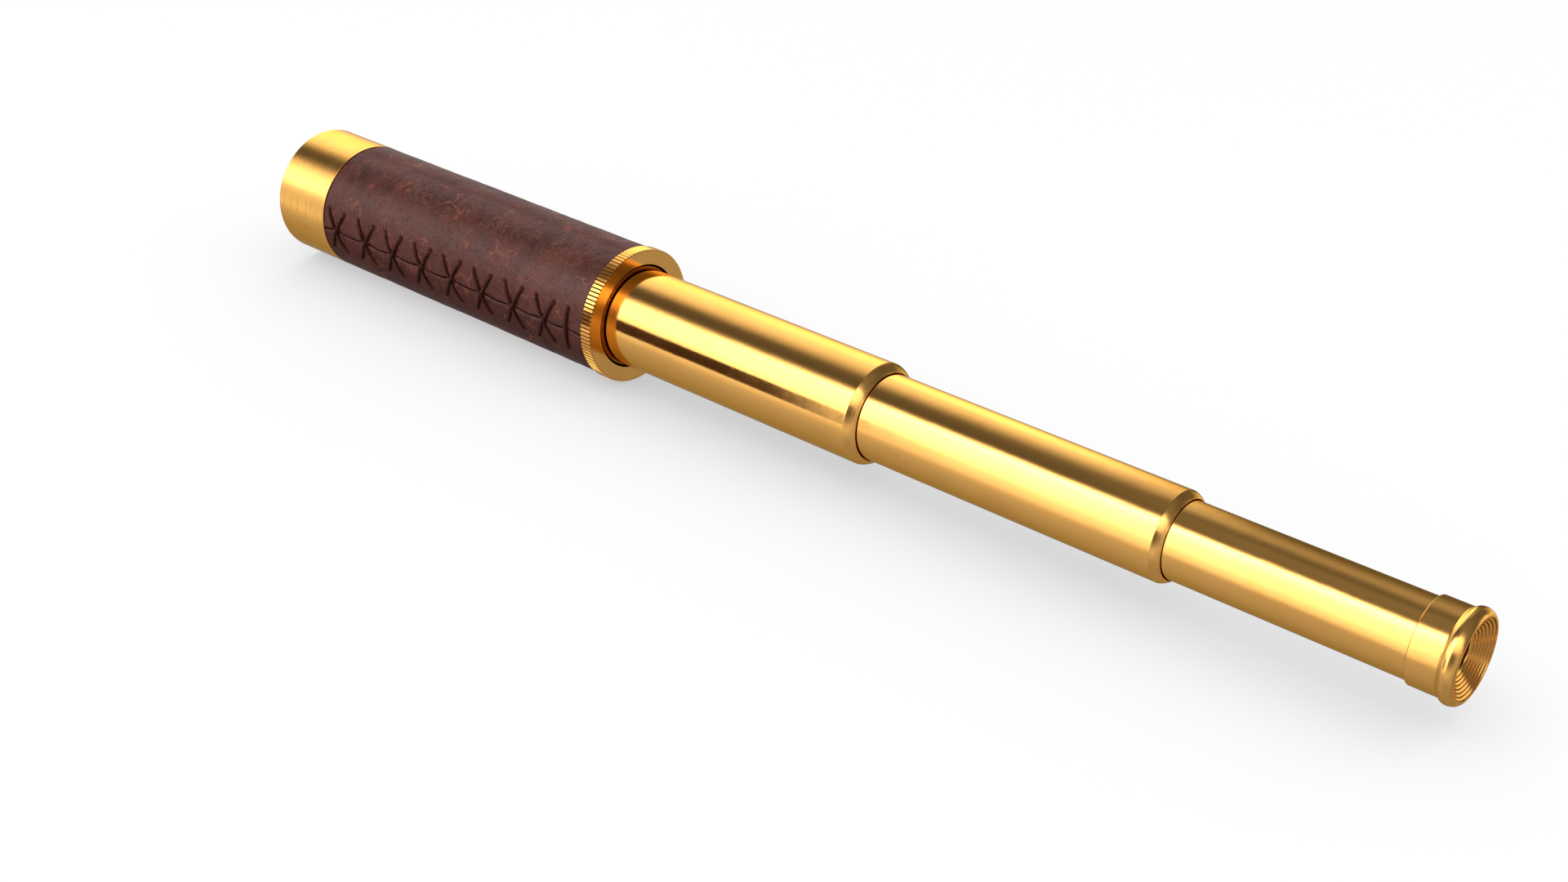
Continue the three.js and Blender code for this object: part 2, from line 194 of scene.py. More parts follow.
def brass(name, roughness, patina, turned, tint=(1, 1, 1), scratches=1.0, brush=0.0, shade_and_dirt=None):
    """Turned brass. turned is the relief of the lathe lines, brush how far they break the gloss."""
    material, g = new_material(name)
    coords = g.object_coords()
    x, angle, y, height = g.about_axis(coords)
    r = g.radius(y, height)
    axes = (x, angle, r)
    bright, brown = (tuple(a * b for a, b in zip(colour, tint)) for colour in (BRASS, BRASS_BROWN))

    # slow blotches of tan patina, and small dark specks
    blotch = g.noise(coords, scale=38, detail=4, roughness=0.6)
    spots = g.noise(coords, scale=260, detail=5, roughness=0.65)
    patina_mask = g.times(g.rise(blotch, 0.42, 0.72), patina)
    speck_mask = g.times(g.rise(spots, 0.66, 0.74), 0.30)
    # very fine turning lines round the piece, and coarser ones that come and go
    fine = g.stretched(axes, (9000, 0.7, 9000), detail=2)
    coarse = g.stretched(axes, (1500, 1.6, 1500), detail=4, roughness=0.7, distortion=0.15)
    # hairline scratches along it, and askew ones in worn patches
    along = g.stretched(axes, (120, 140, 400), detail=3, roughness=0.6, distortion=0.25)
    askew_coords = g.combine(g.total(g.times(x, 700), g.times(angle, 22)),
                             g.times(g.math("SUBTRACT", angle, g.times(x, 20)), 5),
                             g.times(r, 400))
    askew = g.noise(askew_coords, detail=3, roughness=0.65, distortion=0.3)
    worn = g.rise(g.noise(coords, scale=70, detail=3, roughness=0.6), 0.50, 0.66)
    scratch = g.total(g.times(g.remap(along, 0.66, 0.72), 0.6),
                      g.times(g.remap(askew, 0.63, 0.70), worn), clamp=True)

    colour = g.mix(patina_mask, bright, brown)
    colour = g.mix(speck_mask, colour, BRASS_SPECK)
    gloss_loss = g.total(roughness, g.times(g.math("SUBTRACT", blotch, 0.5), 0.10),
                         g.times(scratch, 0.08 * scratches))
    if brush:
        colour = g.mix(g.times(g.rise(coarse, 0.5, 0.72), brush * 0.55), colour, brown)
        coarse_part = g.times(g.math("SUBTRACT", coarse, 0.5), 0.30 * brush)
        gloss_loss = g.total(gloss_loss, coarse_part)
    metallic = 1.0
    if shade_and_dirt:
        # painted shade, with some dirt: the groove floors turn dark brown, rougher and less metallic
        groove_shade = g.times(g.fall(r, shade_and_dirt["full"], shade_and_dirt["gone"]),
                       g.math("GREATER_THAN", x, RIM_X + shade_and_dirt["start"]),
                       g.math("LESS_THAN", x, RIM_X + shade_and_dirt["end"]),
                       g.math("GREATER_THAN", r, shade_and_dirt["floor"]))
        colour = g.mix(g.times(groove_shade, 0.96), colour, GROOVE_SHADE_AND_DIRT)
        gloss_loss = g.total(gloss_loss, g.times(groove_shade, 0.30))
        metallic = g.remap(groove_shade, 0, 1, to_low=1.0, to_high=0.55)

    relief = g.total(g.times(fine, turned), g.times(scratch, -0.5 * scratches),
                     g.times(coarse, turned * (1.0 + 4.0 * brush)))
    normal = g.bump(relief, strength=0.05, distance=0.00005)
    waves = g.stretched(axes, (55, 2.2, 50), detail=3, roughness=0.55)
    normal = g.bump(waves, strength=0.30, distance=0.00011, Normal=normal)
    # small dents in patches fray the edges of the dark reflections
    dents = g.stretched(axes, (190, 6.0, 50), detail=4, roughness=0.6, distortion=0.4)
    patches = g.remap(g.noise(coords, scale=52, detail=3, roughness=0.6), 0.40, 0.64,
                      to_low=0.22, to_high=1.0, smooth=True)
    normal = g.bump(g.times(dents, patches), strength=0.17, distance=0.00012, Normal=normal)

    inputs = {"Base Color": colour, "Metallic": metallic, "Roughness": gloss_loss,
              "Specular Tint": (0.97, 0.76, 0.44), "Normal": normal}
    if brush:
        inputs["Anisotropic"] = 0.45 * brush
        inputs["Tangent"] = g.add("Tangent", direction_type="RADIAL", axis="X").outputs[0]
    g.surface(inputs)
    return material


def mottled(name, scale, detail, colours, roughnesses, strength, distance, inputs):
    """A two-tone speckled surface for narrow gaps; the second tone stands proud."""
    material, g = new_material(name)
    spots = g.rise(g.noise(g.object_coords(), scale=scale, detail=detail, roughness=0.6), 0.35, 0.7)
    g.surface({"Base Color": g.mix(spots, *colours),
               "Roughness": g.remap(spots, 0, 1, *roughnesses),
               "Normal": g.bump(spots, strength, distance), **inputs})
    return material


def blackened(name):
    """Dark matt finish, rubbed through to brown in places."""
    material, g = new_material(name)
    coords = g.object_coords()
    x, angle, y, height = g.about_axis(coords)
    axes = (x, angle, g.radius(y, height))
    rubbed = g.rise(g.noise(coords, scale=150, detail=5, roughness=0.7), 0.60, 0.78)
    lines = g.stretched(axes, (5000, 1.0, 5000), detail=2)
    g.surface({"Base Color": g.mix(g.times(rubbed, 0.35),
                                   (0.018, 0.015, 0.012), (0.16, 0.085, 0.03)),
               "Metallic": 0.35,
               "Roughness": g.remap(rubbed, 0, 1, to_low=0.62, to_high=0.42),
               "Normal": g.bump(lines, strength=0.25, distance=0.00004)})
    return material


def lens_glass(name, tint, specular):
    material, g = new_material(name)
    dust = g.rise(g.noise(g.object_coords(), scale=700, detail=4, roughness=0.7), 0.62, 0.8)
    g.surface({"Base Color": tint, "Transmission Weight": 1.0, "IOR": 1.52,
               "Specular IOR Level": specular,
               "Roughness": g.remap(dust, 0, 1, to_low=0.0, to_high=0.06)})
    return material


def leather(name):
    material, g = new_material(name)
    x, angle = g.about_axis(g.object_coords())[:2]
    arc = g.times(angle, SLEEVE_R * MM)
    sheet = g.combine(x, arc, 0.0)
    seam_distance = g.math("ABSOLUTE", g.total(arc, math.pi / 2 * SLEEVE_R * MM))
    near_seam = g.fall(seam_distance, 0.0045, 0.0120)

    def streaks(along, along_scale, arc_scale, layer, **noise):
        """Noise with its own scale along the sleeve and round it; layer picks another pattern."""
        return g.noise(g.combine(g.times(along, along_scale), g.times(arc, arc_scale), layer),
                       **noise)

    def crease(along_scale, arc_scale, skew, layer):
        return streaks(g.total(x, g.times(arc, skew)), along_scale, arc_scale, layer,
                       detail=4, roughness=0.62, distortion=0.9)

    def groups(along_scale, arc_scale, layer, low, high):
        noise = streaks(x, along_scale, arc_scale, layer,
                        detail=3, roughness=0.55, distortion=0.6)
        return g.rise(noise, low, high)

    broad = g.noise(sheet, scale=55, detail=4, roughness=0.6, distortion=0.4)
    medium = g.noise(sheet, scale=210, detail=5, roughness=0.65, distortion=0.8)
    patch = g.noise(g.combine(x, arc, 0.31), scale=95, detail=4, roughness=0.6, distortion=0.5)
    # pulled creases run round the sleeve, a little askew, in groups
    crease_a = crease(1150, 330, skew=0.25, layer=0.0)
    crease_b = crease(900, 330, skew=-0.32, layer=5.0)
    crease_c = crease(1900, 780, skew=0.10, layer=9.0)
    creases = g.math("MAXIMUM",
                     g.times(g.rise(crease_a, 0.56, 0.66), groups(75, 110, 2.0, 0.48, 0.62)),
                     g.times(g.rise(crease_b, 0.57, 0.66), groups(90, 100, 7.0, 0.50, 0.64)))
    fine_creases = g.rise(crease_c, 0.58, 0.68)
    # rubbed, redder spots in clusters
    rubs = g.noise(sheet, scale=620, detail=4, roughness=0.72, distortion=1.2)
    spots = g.times(g.rise(rubs, 0.51, 0.64), g.rise(patch, 0.46, 0.60))
    # thin scuffs along warped cell borders, the brightest orange marks
    warp = g.add("VectorMath", {0: g.noise(sheet, scale=150, detail=4, output="Color"), 3: 0.016},
                 operation="SCALE").outputs[0]
    warped = g.add("VectorMath", {0: sheet, 1: warp}, operation="ADD").outputs[0]
    cells = g.add("TexVoronoi", feature="DISTANCE_TO_EDGE")
    g.put(cells.inputs["Vector"], warped)
    g.put(cells.inputs["Scale"], 75)
    scuffs = g.times(g.fall(cells.outputs["Distance"], 0.0, 0.065),
                     g.rise(g.noise(sheet, scale=80, detail=3), 0.50, 0.62),
                     g.remap(medium, 0.40, 0.60, to_low=0.2))
    seam_blotch = g.noise(g.combine(x, arc, 0.77), scale=330, detail=4, roughness=0.62,
                          distortion=0.7)
    # painted shade, with some dirt, beside the cords, in the holes and along the seam, from a mesh
    # attribute
    shade_and_dirt = g.add("Attribute", attribute_name="shade_and_dirt").outputs["Fac"]
    # dark cut edges at both ends of the sleeve
    start, end = RIM_X + SLEEVE_START * MM, RIM_X + SLEEVE_END * MM
    ends = g.math("MAXIMUM", g.fall(x, start + 0.05e-3, start + 0.45e-3),
                  g.rise(x, end - 0.55e-3, end - 0.10e-3))

    colour = g.mix(g.rise(broad, 0.33, 0.68), (0.050, 0.0125, 0.0090), (0.098, 0.0240, 0.0155))
    # layers laid one over another: the factors of the mask, the colour
    for mask, layer_colour in (
            ((near_seam, 0.50), (0.098, 0.0235, 0.0150)),
            ((near_seam, 0.62, g.rise(seam_blotch, 0.50, 0.66)), (0.190, 0.050, 0.030)),
            ((g.rise(medium, 0.42, 0.62), 0.30), (0.115, 0.034, 0.024)),
            ((creases, 0.72), (0.190, 0.056, 0.037)),
            ((fine_creases, 0.32), (0.165, 0.046, 0.030)),
            ((spots, 0.66), (0.240, 0.062, 0.036)),
            ((scuffs, 0.78), (0.320, 0.088, 0.050)),
            # painted shade, with some dirt: near black beside the cords, in the holes and along the
            # seam
            ((shade_and_dirt, 0.82), (0.012, 0.0045, 0.0035)),
            ((ends, 0.85), (0.012, 0.006, 0.005))):
        colour = g.mix(g.times(*mask), colour, layer_colour)

    pores = g.add("TexVoronoi", feature="SMOOTH_F1")
    g.put(pores.inputs["Vector"], sheet)
    g.put(pores.inputs["Scale"], 1700)
    relief = g.total(g.times(pores.outputs["Distance"], 0.22), g.times(creases, 0.75),
                     g.times(crease_a, 0.38), g.times(crease_c, 0.30),
                     g.times(medium, 1.10), g.times(spots, 0.34))
    relief = g.math("SUBTRACT", relief, g.times(scuffs, 0.30))
    facing = g.add("LayerWeight").outputs["Facing"]
    g.surface({"Base Color": colour,
               "Roughness": g.total(g.remap(medium, 0.3, 0.7, to_low=0.25, to_high=0.40),
                                    g.times(spots, 0.14), g.times(shade_and_dirt, 0.20)),
               "Specular IOR Level": g.remap(facing, 0.22, 0.58, to_low=0.32, to_high=0.025),
               "Specular Tint": (1.0, 0.86, 0.82),
               "Normal": g.bump(relief, strength=0.82, distance=0.00026)})
    return material


def waxed_cord(name):
    material, g = new_material(name)
    coords = g.object_coords()
    fuzz = g.noise(coords, scale=2600, detail=3, roughness=0.6)
    tone = g.noise(coords, scale=240, detail=3, roughness=0.6)
    g.surface({"Base Color": g.mix(g.remap(tone, 0.3, 0.7),
                                   (0.034, 0.0105, 0.0072), (0.084, 0.0255, 0.0175)),
               "Roughness": g.remap(fuzz, 0.3, 0.7, to_low=0.42, to_high=0.60),
               "Specular IOR Level": 0.13, "Specular Tint": (1.0, 0.72, 0.62),
               "Normal": g.bump(fuzz, strength=0.6, distance=0.00008)})
    return material


POLISHED = brass("brass_polished", roughness=0.125, patina=0.20, turned=0.25, brush=0.25)
CELL = brass("brass_cell", roughness=0.17, patina=0.28, turned=0.45, scratches=1.4, brush=0.9)
TUBE = brass("brass_drawn_tube", roughness=0.100, patina=0.16, turned=0.15)
KNURLED = brass("brass_knurled", roughness=0.14, patina=0.22, turned=0.2, shade_and_dirt=KNURL_SHADE_AND_DIRT)
PLAIN = brass("brass_plain", roughness=0.26, patina=0.6, turned=0.7, tint=(0.85, 0.82, 0.8),
              scratches=1.5, brush=0.5)
# painted shade, with some grime: dark, reddish, half metallic colour in gaps, bores and cut lines,
# where shade falls
GAP_SHADE_AND_GRIME = mottled("gap_shade_and_grime", scale=400, detail=4,
                colours=((0.012, 0.0045, 0.0025), (0.045, 0.014, 0.006)),
                roughnesses=(0.70, 0.50), strength=0.3, distance=0.00005,
                inputs={"Metallic": 0.15, "Specular IOR Level": 0.15})
# painted bounce light: brass tinted deep orange, as brass looks after many bounces, on the wall of a
# narrow gap
GAP_BOUNCE_TINT = mottled("gap_brass_bounce_tint", scale=500, detail=3,
              colours=((0.48, 0.125, 0.012), (0.64, 0.190, 0.026)),
              roughnesses=(0.42, 0.30), strength=0.2, distance=0.00004,
              inputs={"Metallic": 1.0, "Specular Tint": (0.8, 0.3, 0.08)})
BLACKENED = blackened("brass_blackened")
GLASS = lens_glass("lens_glass", tint=(0.93, 0.97, 0.95), specular=0.5)
# painted shade: the front glass is tinted near black for the dark blackened tube it looks into, and
# hardly mirrors anything
COATED_SHADED_GLASS = lens_glass("lens_glass_coated_shaded", tint=(0.055, 0.055, 0.056), specular=0.045)
LEATHER = leather("leather_brown")
CORD = waxed_cord("waxed_cord")


# ---------------------------------------------------------------- mesh helpers
def add_piece(name, body, node, vertices, faces, materials, face_materials=None,
              sharp=None):
    """Adds a smooth-shaded mesh that stands for a CAD node; edges above sharp degrees stay hard."""
    mesh = bpy.data.meshes.new(name)
    mesh.from_pydata([tuple(map(float, v)) for v in vertices], [], faces)
    for material in materials:
        mesh.materials.append(material)
    if face_materials is not None:
        mesh.polygons.foreach_set("material_index", np.array(face_materials, np.int32))
    mesh.polygons.foreach_set("use_smooth", np.ones(len(mesh.polygons), bool))
    mesh.update()
    mesh.validate()
    bm = bmesh.new()
    bm.from_mesh(mesh)
    if bm.calc_volume(signed=True) < 0:
        bmesh.ops.reverse_faces(bm, faces=bm.faces)
    if sharp is not None:
        for edge in bm.edges:
            if len(edge.link_faces) == 2 and edge.calc_face_angle(0) > math.radians(sharp):
                edge.smooth = False
    bm.to_mesh(mesh)
    bm.free()
    piece = bpy.data.objects.new(name, mesh)
    bpy.context.scene.collection.objects.link(piece)
    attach(piece, body)
    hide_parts(node)
    return piece


def rounded(outline, bevel, steps):
    """A closed outline with an arc at each corner and a support point beside each arc.

    Points are (radius, station) or (radius, station, corner radius).
    """
    result = []
    for i, point in enumerate(outline):
        before, corner, after = (np.array(outline[(i + k) % len(outline)][:2], float)
                                 for k in (-1, 0, 1))
        corner_radius = point[2] if len(point) > 2 else bevel
        back, ahead = before - corner, after - corner
        back_length, ahead_length = np.linalg.norm(back), np.linalg.norm(ahead)
        back, ahead = back / back_length, ahead / ahead_length
        turn = math.pi - math.acos(max(-1, min(1, float(back @ ahead))))
        if turn < math.radians(12) or corner_radius <= 0:
            result.append(corner)
            continue
        cut = min(corner_radius * math.tan(turn / 2), 0.42 * back_length, 0.42 * ahead_length)
        arc_radius = cut / math.tan(turn / 2)
        first, last = corner + back * cut, corner + ahead * cut
        inward = (back + ahead) / np.linalg.norm(back + ahead)
        centre = corner + inward * (arc_radius / math.cos(turn / 2))
        support = min(0.6 * cut, 0.03)
        if back_length > 6 * cut:
            result.append(first + back * support)
        arc_steps = max(1, steps if turn > math.radians(40) else steps // 2)
        for j in range(arc_steps + 1):
            f = j / arc_steps
            first_part = math.sin((1 - f) * turn) / math.sin(turn)
            last_part = math.sin(f * turn) / math.sin(turn)
            result.append(centre + (first - centre) * first_part + (last - centre) * last_part)
        if ahead_length > 6 * cut:
            result.append(last + ahead * support)
    return result


def lathe(name, body, node, outline, material, segments, bevel=0.08, steps=3,
          lining=(), lining_at=None, sharp=None):
    """Turns an outline about the optical axis.

    An outline that starts on the axis stays open and unrounded; any other is a closed section.
    lining_at maps the middle of an outline edge to a material: 0 the main one, 1 on the lining.
    """
    closed = outline[0][0] > 0
    profile = np.array(rounded(outline, bevel, steps) if closed else outline, float)
    r, s = profile[:, 0], profile[:, 1]
    if np.sum(s * np.roll(r, -1) - np.roll(s, -1) * r) > 0:
        profile = profile[::-1]
    angles = np.linspace(0, 2 * math.pi, segments, endpoint=False)
    vertices, faces, face_materials, loops = [], [], [], []
    for radius, station in profile:
        first = len(vertices)
        if radius < 1e-6:
            vertices.append(place(station, 0.0, 0.0))
        else:
            vertices.extend(place(station, radius, angles))
        loops.append(range(first, len(vertices)))
    count = len(profile)
    for i in range(count if closed else count - 1):
        j = (i + 1) % count
        a, b = loops[i], loops[j]
        if len(a) == 1 and len(b) == 1:
            continue
        index = int(lining_at((profile[i] + profile[j]) / 2)) if lining_at else 0
        for k in range(segments):
            k2 = (k + 1) % segments
            if len(a) == 1:
                faces.append((a[0], b[k], b[k2]))
            elif len(b) == 1:
                faces.append((a[k], b[0], a[k2]))
            else:
                faces.append((a[k], b[k], b[k2], a[k2]))
            face_materials.append(index)
    return add_piece(name, body, node, vertices, faces, [material, *lining],
                     face_materials, sharp)


def ring(bore, radius, start, end):
    return [(bore, start), (radius, start), (radius, end), (bore, end)]


def lens(radius, front, rear, front_sag, rear_sag):
    """Two curved faces at the front and rear stations, with a small ground chamfer at the rim."""
    count, chamfer = 14, 0.15
    steps = [i / count for i in range(count + 1)]
    front_face = [(radius * f, front + front_sag * f ** 2) for f in steps]
    rear_face = [(radius * f, rear - rear_sag * f ** 2) for f in reversed(steps)]
    front_rim, rear_rim = front_face[-1][1], rear_face[0][1]
    front_face[-1] = (radius - chamfer, front_rim)
    rear_face[0] = (radius - chamfer, rear_rim)
    rim = [(radius, front_rim + chamfer), (radius, rear_rim - chamfer)]
    return front_face + rim + rear_face


# ---------------------------------------------------------------- barrel
# Outlines below hold (radius, station) or (radius, station, corner radius), in mm.
def objective_end():
    body = "barrel"
    lathe("cell_shell", body, "objective_cell", [
        (20.5, 0.0, 0.05), (20.78, 0.0, 0.12), (21.0, 0.28, 0.25), (21.0, 23.2, 0.12),
        (20.1, 23.2, 0.05), (20.1, 13.8, 0.05), (19.05, 13.8, 0.05), (19.05, 5.6, 0.05),
        (20.5, 5.6, 0.05)], CELL, 288, steps=5)
    # the stepped ring in the mouth, black behind its steps
    lathe("mouth_ring", body, "front_ring", [
        (20.46, 0.12, 0.05), (20.46, 5.3, 0.05), (19.4, 5.3, 0.05), (19.4, 3.0, 0.1),
        (17.9, 2.55, 0.12), (17.9, 2.0, 0.12), (18.35, 1.95, 0.05), (18.42, 1.62, 0.06),
        (18.87, 1.57, 0.05), (18.94, 1.2, 0.06), (19.39, 1.15, 0.05), (19.46, 0.78, 0.06),
        (19.91, 0.73, 0.05), (19.98, 0.40, 0.06), (20.28, 0.35, 0.05)],
        PLAIN, 288, lining=[BLACKENED], lining_at=lambda p: p[1] > 2.62)
    lathe("mouth_retainer", body, "front_retaining_ring", ring(18.4, 18.95, 5.9, 7.85),
          PLAIN, 224)
    lathe("objective_mount", body, "lens_mount", [
        (18.35, 8.0, 0.12), (18.95, 8.0, 0.05), (18.95, 22.8), (17.65, 22.8), (17.65, 13.65),
        (16.4, 13.65, 0.05), (16.4, 13.3, 0.15)],
        POLISHED, 256, steps=4, lining=[BLACKENED],
        lining_at=lambda p: p[1] > 13.6 and p[0] < 18.0)
    lathe("objective_crown", body, "objective_crown_lens", lens(17.5, 12.9, 17.4, 1.0, 0.8),
          COATED_SHADED_GLASS, 160)
    lathe("objective_spacer_ring", body, "objective_spacer", ring(16.7, 17.5, 16.78, 17.1),
          BLACKENED, 128, bevel=0.04)
    lathe("objective_flint", body, "objective_flint_lens", lens(17.5, 18.0, 20.2, -0.8, 0.0),
          GLASS, 160)
    lathe("objective_clamp_ring", body, "objective_rear_ring", ring(16.2, 17.5, 20.4, 22.4),
          BLACKENED, 128)
    # brass outside, blackened bore
    lathe("barrel_shell", body, "barrel_tube", ring(19.1, 20.0, 14.0, 145.2), PLAIN, 160,
          lining=[BLACKENED], lining_at=lambda p: p[0] < 19.5)


def knurled_collar():
    """The rear collar, with straight grooves along its wide end."""
    # one pitch of the knurling: (fraction of the pitch, depth in mm)
    tooth = np.array([(0.00, 0.06), (0.03, 0.0), (0.34, 0.0), (0.66, 0.0), (0.69, 0.06),
                      (0.72, 0.17), (0.80, 0.68), (0.84, 0.74), (0.88, 0.68), (0.97, 0.17)])
    land_middle = 0.345
    pitch = 2 * math.pi / KNURL_TEETH
    angles = (np.arange(KNURL_TEETH)[:, None] * pitch
              + (tooth[None, :, 0] - land_middle) * pitch).ravel()
    depths = np.tile(tooth[:, 1], KNURL_TEETH)
    section = rounded([
        (16.6, 130.5), (18.95, 130.5), (18.95, 145.4), (20.78, 145.4, 0.03),
        (21.18, 145.42, 0.05), (KNURL_R, 145.62, 0.05), (KNURL_R, 149.28, 0.04),
        (21.29, 149.4, 0.03), (16.6, 149.4, 0.02)], 0.05, 3)
    vertices, faces, face_materials = [], [], []
    columns = len(angles)
    for radius, station in section:
        cut = np.minimum(radius, KNURL_R - depths) if radius > 20.7 else radius
        vertices.extend(place(station, cut, angles))
    for i in range(len(section)):
        j = (i + 1) % len(section)
        # painted shade, with some grime: the bore round the draw tube is dark
        in_bore = max(section[i][0], section[j][0]) < 16.68
        for k in range(columns):
            k2 = (k + 1) % columns
            faces.append((i * columns + k, j * columns + k, j * columns + k2, i * columns + k2))
            face_materials.append(int(in_bore))
    add_piece("knurled_collar", "barrel", "rear_collar", vertices, faces, [KNURLED, GAP_SHADE_AND_GRIME],
              face_materials=face_materials, sharp=24)


def guide_bush():
    def lining_at(p):
        # painted shade, with some grime, on the outside of the bush hidden in the collar; painted
        # bounce light, deep orange brass, on its end face and the end of its bore
        if p[0] > 15.8 and p[1] < 148.9:
            return 1
        return 2 if p[1] > 148.85 or (p[0] < 15.46 and p[1] > 140) else 0

    lathe("guide_bush", "barrel", "barrel_guide_bush", [
        (15.43, 128.4), (18.9, 128.4), (18.9, 130.2), (16.5, 130.2), (16.5, 141.0),
        (15.88, 141.7), (15.88, 149.05, 0.10), (15.43, 149.05, 0.05)],
        PLAIN, 256, steps=4, lining=[GAP_SHADE_AND_GRIME, GAP_BOUNCE_TINT], lining_at=lining_at)


# ---------------------------------------------------------------- draws 1 and 2
def draw(number, bore, radius, start, shoulder_start, mouth, lip, stop_radius, recess,
         ferrule_start, sleeve_start, sleeve_bore, sleeve_radius):
    """A draw tube, the stop ring at its low-X end and the ferrule at its mouth."""
    body = "draw_%d" % number
    lathe(body + "_body", body, "draw_tube_%d" % number,
          ring(bore, radius, start + 0.3, shoulder_start - 0.02), TUBE, 256, bevel=0.03,
          lining=[BLACKENED], lining_at=lambda p: p[0] < (bore + radius) / 2 - 0.1)
    lathe(body + "_stop", body, body + "_stop_ring", [
        (bore, start), (stop_radius, start), (stop_radius, start + 5.7),
        (radius + 0.05, start + 5.7), (radius + 0.05, start + 0.2), (bore, start + 0.2)],
        PLAIN, 160, bevel=0.06)

    # the shoulder leaves the tube at a crisp 16 degrees and steepens to 52 at the lip
    first, last = math.radians(16), math.radians(52)
    shoulder_end = lip + 0.36
    shoulder = []
    for i in range(17):
        a = math.radians(16 + 36 * i / 16)
        drop = (math.cos(first) - math.cos(a)) / (math.cos(first) - math.cos(last))
        run = (math.sin(a) - math.sin(first)) / (math.sin(last) - math.sin(first))
        shoulder.append((radius - (radius - shoulder_end) * drop,
                         shoulder_start + 0.02 + (mouth - shoulder_start - 0.04) * run, 0))
    spigot = bore - 0.1
    section = [
        (radius - 0.04, shoulder_start, 0.0), *shoulder,
        (shoulder_end - 0.05, mouth, 0), (lip + 0.26, mouth, 0), (lip + 0.20, mouth - 0.06, 0),
        (lip + 0.20, mouth - 0.9, 0), (recess, mouth - 0.9, 0.03), (recess, ferrule_start),
        (spigot, ferrule_start), (spigot, shoulder_start)]

    # painted bounce light: the inner wall of the lip and the recess take the deep orange gap brass
    def in_gap(p):
        return ((p[0] < lip + 0.235 and p[1] < mouth - 0.01)
                or (p[0] < recess + 0.02 and p[1] < mouth - 0.86))

    lathe(body + "_mouth", body, body + "_ferrule", section, POLISHED, 256, bevel=0.03,
          sharp=12, lining=[GAP_BOUNCE_TINT], lining_at=in_gap)
    spring_sleeve(body, sleeve_bore, sleeve_radius, sleeve_start, mouth - 1.1)


def spring_sleeve(body, bore, radius, start, end):
    """A thin sleeve cut by four slots from its low-X end: four tongues on one ring."""
    columns = 36                        # vertices across a tongue
    slot_root = start - 0.5 + (end - start) * 0.62
    half_slot = 0.4 / bore              # half the slot's width, as an angle
    slots = np.radians([45, 135, 225, 315])
    tongues = []
    for i in range(4):
        last = slots[(i + 1) % 4] - half_slot + (2 * math.pi if i == 3 else 0)
        tongues.append(np.linspace(slots[i] + half_slot, last, columns))
    vertices, faces = [], []

    def rows(station, angles):
        """One row of vertices on the bore and one on the outside."""
        result = []
        for r in (bore, radius):
            first = len(vertices)
            vertices.extend(place(station, r, angles))
            result.append(range(first, len(vertices)))
        return result

    whole = np.concatenate(tongues)
    root_in, root_out = rows(slot_root, whole)
    end_in, end_out = rows(end, whole)
    for k in range(len(whole)):
        k2 = (k + 1) % len(whole)
        faces.append((root_out[k], end_out[k], end_out[k2], root_out[k2]))
        faces.append((root_in[k2], end_in[k2], end_in[k], root_in[k]))
        faces.append((end_out[k], end_in[k], end_in[k2], end_out[k2]))
        if (k + 1) % columns == 0:      # the root of a slot
            faces.append((root_in[k], root_out[k], root_out[k2], root_in[k2]))
    for i, tongue in enumerate(tongues):
        a, b = i * columns, i * columns + columns - 1
        tip_in, tip_out = rows(start, tongue)
        for k in range(columns - 1):
            q = a + k
            faces.append((tip_out[k], root_out[q], root_out[q + 1], tip_out[k + 1]))
            faces.append((tip_in[k + 1], root_in[q + 1], root_in[q], tip_in[k]))
            faces.append((tip_in[k], tip_out[k], tip_out[k + 1], tip_in[k + 1]))
        faces.append((tip_in[0], root_in[a], root_out[a], tip_out[0]))
        faces.append((tip_out[-1], root_out[b], root_in[b], tip_in[-1]))
    add_piece(body + "_spring_sleeve", body, body + "_guide_sleeve", vertices, faces, [PLAIN],
              sharp=35)


# ---------------------------------------------------------------- draw 3 and eyepiece
def third_draw():
    body = "draw_3"
    lathe("draw_3_body", body, "draw_tube_3", ring(10.5, 11.07, 322.3, 416.8), TUBE, 224,
          bevel=0.03, lining=[BLACKENED], lining_at=lambda p: p[0] < 10.7)
    lathe("draw_3_stop", body, "draw_3_stop_ring", ring(11.12, 12.3, 322.3, 327.9), PLAIN, 160,
          bevel=0.06)
    lathe("erector_body", body, "erector_tube", [
        (9.6, 318), (11.0, 318), (11.0, 322), (10.38, 322), (10.38, 364), (9.6, 364),
        (9.6, 358.5), (8.9, 358.5), (8.9, 324.7), (9.6, 324.7)], BLACKENED, 128)
    lathe("erector_front_ring", body, "erector_front_retainer", ring(8.3, 9.5, 318.6, 320.4),
          BLACKENED, 96)
    lathe("erector_front_glass", body, "erector_front_lens", lens(9.5, 320.6, 324.4, 0.9, 0.0),
          GLASS, 96)
    lathe("erector_aperture", body, "erector_stop", ring(3.0, 8.8, 340.0, 341.0), BLACKENED, 96)
    lathe("erector_rear_glass", body, "erector_rear_lens", lens(9.5, 358.8, 362.6, 0.0, 0.9),
          GLASS, 96)
    lathe("erector_rear_ring", body, "erector_rear_retainer", ring(8.3, 9.5, 362.0, 363.7),
          BLACKENED, 96)


